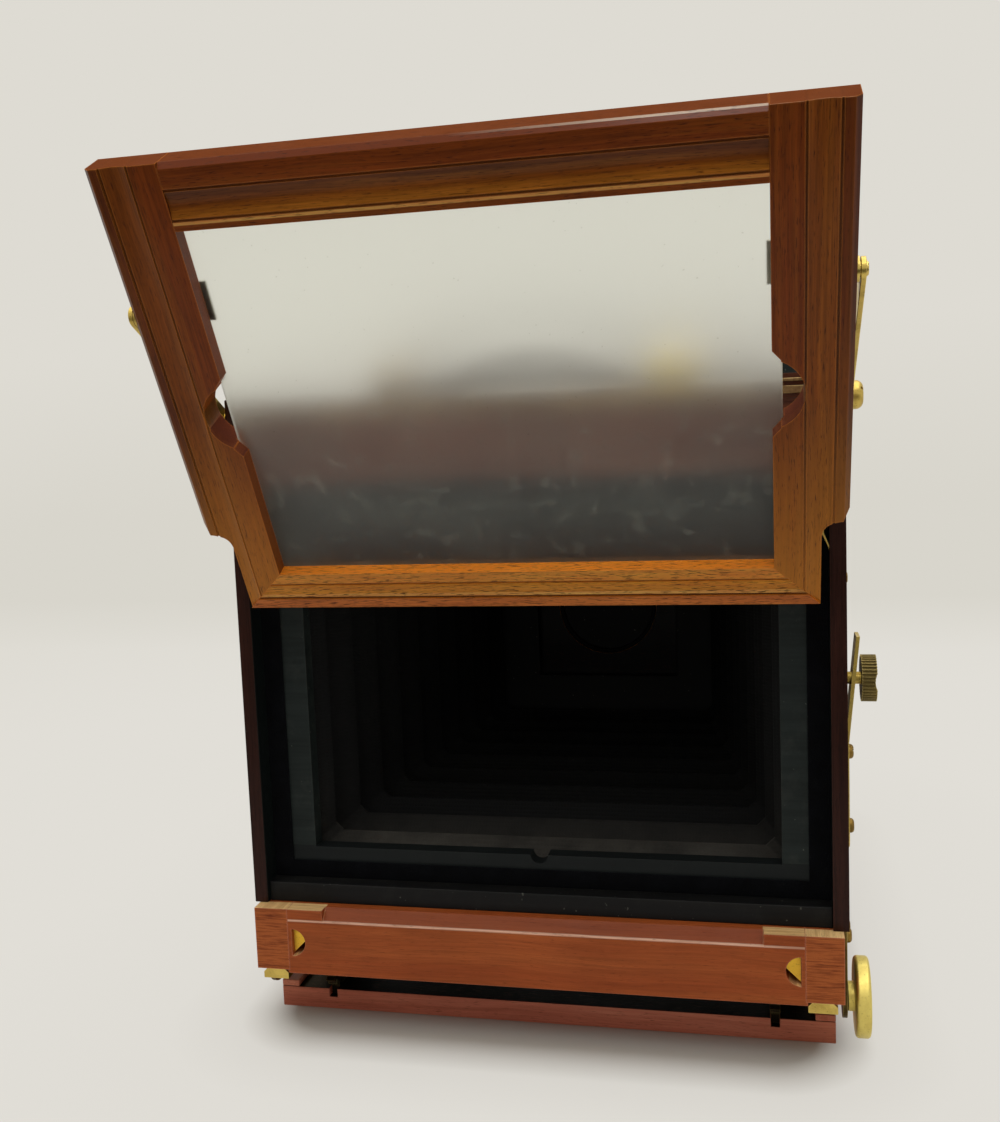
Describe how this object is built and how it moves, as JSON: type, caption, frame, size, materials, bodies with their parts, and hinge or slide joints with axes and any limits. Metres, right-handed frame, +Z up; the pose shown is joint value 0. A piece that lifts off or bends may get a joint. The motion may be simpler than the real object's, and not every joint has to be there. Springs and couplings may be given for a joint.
{
  "type": "wooden plate camera",
  "caption": "Wooden plate camera with brass fittings, tapered bellows, rack focusing and a ground-glass screen that swings up on arms.",
  "frame": {"origin": "mouth of the tripod bush, in the middle of the base's underside", "axes": "+X to the operator's right, +Y towards the subject, +Z up"},
  "size_m": [0.2183, 0.3493, 0.2845],
  "materials": {
    "mahogany": "french polished",
    "dark_mahogany": "french polished",
    "red_mahogany": "french polished",
    "black_wood": "dull black stain",
    "velvet": "velvet",
    "handle_leather": "worn",
    "bellows_leather": "dull",
    "ground_glass": "ground",
    "lens_glass": "clear",
    "black_metal": "dull black",
    "brass": "aged, lacquered"
  },
  "bodies": {
    "base": {"base_board": "red_mahogany", "base_edges": "red_mahogany", "tripod_bush": "brass", "tripod_bush_screws": "brass", "racks": "brass", "front_foot": "mahogany", "front_posts": "mahogany", "front_gussets": "brass", "gusset_screws": "brass", "front_top_bar": "black_wood", "bellows_frame": "black_wood", "panel_guides": "brass", "bellows": "bellows_leather"},
    "pinion": {"pinions": "brass", "pinion_shaft": "brass", "focusing_knob": "brass"},
    "stay_nut": {"thumb_nut": "brass"},
    "screen_arms": {"screen_arms": "brass"},
    "screen": {"screen_stile_right": "mahogany", "screen_stile_left": "mahogany", "screen_top_rail": "mahogany", "screen_bottom_rail": "mahogany", "ground_glass": "ground_glass", "glass_clips": "brass", "clip_screws": "brass", "screen_pivot_screws": "brass"},
    "lens_panel": {"lens_panel": "mahogany", "lens_flange": "brass", "flange_screws": "brass", "lens_barrel": "brass", "lens_hood": "brass", "iris_leaves": "black_metal", "lens_glasses": "lens_glass"},
    "panel_clamp": {"clamp_screw": "brass"},
    "iris_ring": {"iris_ring": "brass"},
    "lens_cap": {"lens_cap": "brass"},
    "back": {"bearing_plates": "brass", "carriage_side_rails": "red_mahogany", "carriage_rear_rail": "red_mahogany", "carriage_front_rail": "red_mahogany", "carriage_floor": "black_wood", "corner_plates": "brass", "runners": "brass", "sliding_shoes": "black_wood", "body_wall_left": "dark_mahogany", "stay": "brass", "stay_stud": "brass", "body_wall_right": "dark_mahogany", "body_sill": "black_wood", "inner_frame": "black_wood", "velvet_seal": "velvet", "body_top_rail": "mahogany", "top_edge_strip": "brass", "spring_leaves": "brass", "back_screws": "brass", "body_top": "mahogany", "handle": "handle_leather", "handle_plates": "brass", "handle_screws": "brass", "arm_pivot_screws": "brass"}
  },
  "joints": [
    {"name": "focus_slide", "type": "slide", "parent": "base", "child": "back", "axis": [0, 1, 0], "range_m": [0, 0.1], "deforming": ["bellows"]},
    {"name": "pinion_turn", "type": "hinge", "parent": "back", "child": "pinion", "pos_m": [0, -0.1035, 0.0151], "axis": [1, 0, 0], "range_deg": [-895.7, 0.5]},
    {"name": "stay_nut_turn", "type": "hinge", "parent": "back", "child": "stay_nut", "pos_m": [0.1015, -0.0995, 0.1215], "axis": [1, 0, 0], "range_deg": [0, 720]},
    {"name": "arm_swing", "type": "hinge", "parent": "back", "child": "screen_arms", "pos_m": [0, -0.1135, 0.2124], "axis": [1, 0, 0], "range_deg": [0, 110.13]},
    {"name": "screen_tilt", "type": "hinge", "parent": "screen_arms", "child": "screen", "pos_m": [0, -0.17027, 0.24322], "axis": [1, 0, 0], "range_deg": [-139.53, 0.01]},
    {"name": "panel_rise", "type": "slide", "parent": "base", "child": "lens_panel", "axis": [0, 0, 1], "range_m": [-0.01, 0.022]},
    {"name": "clamp_turn", "type": "hinge", "parent": "base", "child": "panel_clamp", "pos_m": [0.082, 0.0945, 0.20603], "axis": [0, 1, 0], "range_deg": [0, 360]},
    {"name": "iris_turn", "type": "hinge", "parent": "lens_panel", "child": "iris_ring", "pos_m": [0, 0.1109, 0.11803], "axis": [0, 1, 0], "range_deg": [0, 110]},
    {"name": "cap_pull", "type": "slide", "parent": "lens_panel", "child": "lens_cap", "axis": [0, 1, 0], "range_m": [0, 0.045]}
  ],
  "couplings": [
    {"joint": "pinion_turn", "follows": "focus_slide", "rad_per_m": -156.25},
    {"joint": "screen_tilt", "follows": "arm_swing", "ratio": -1.2668}
  ]
}
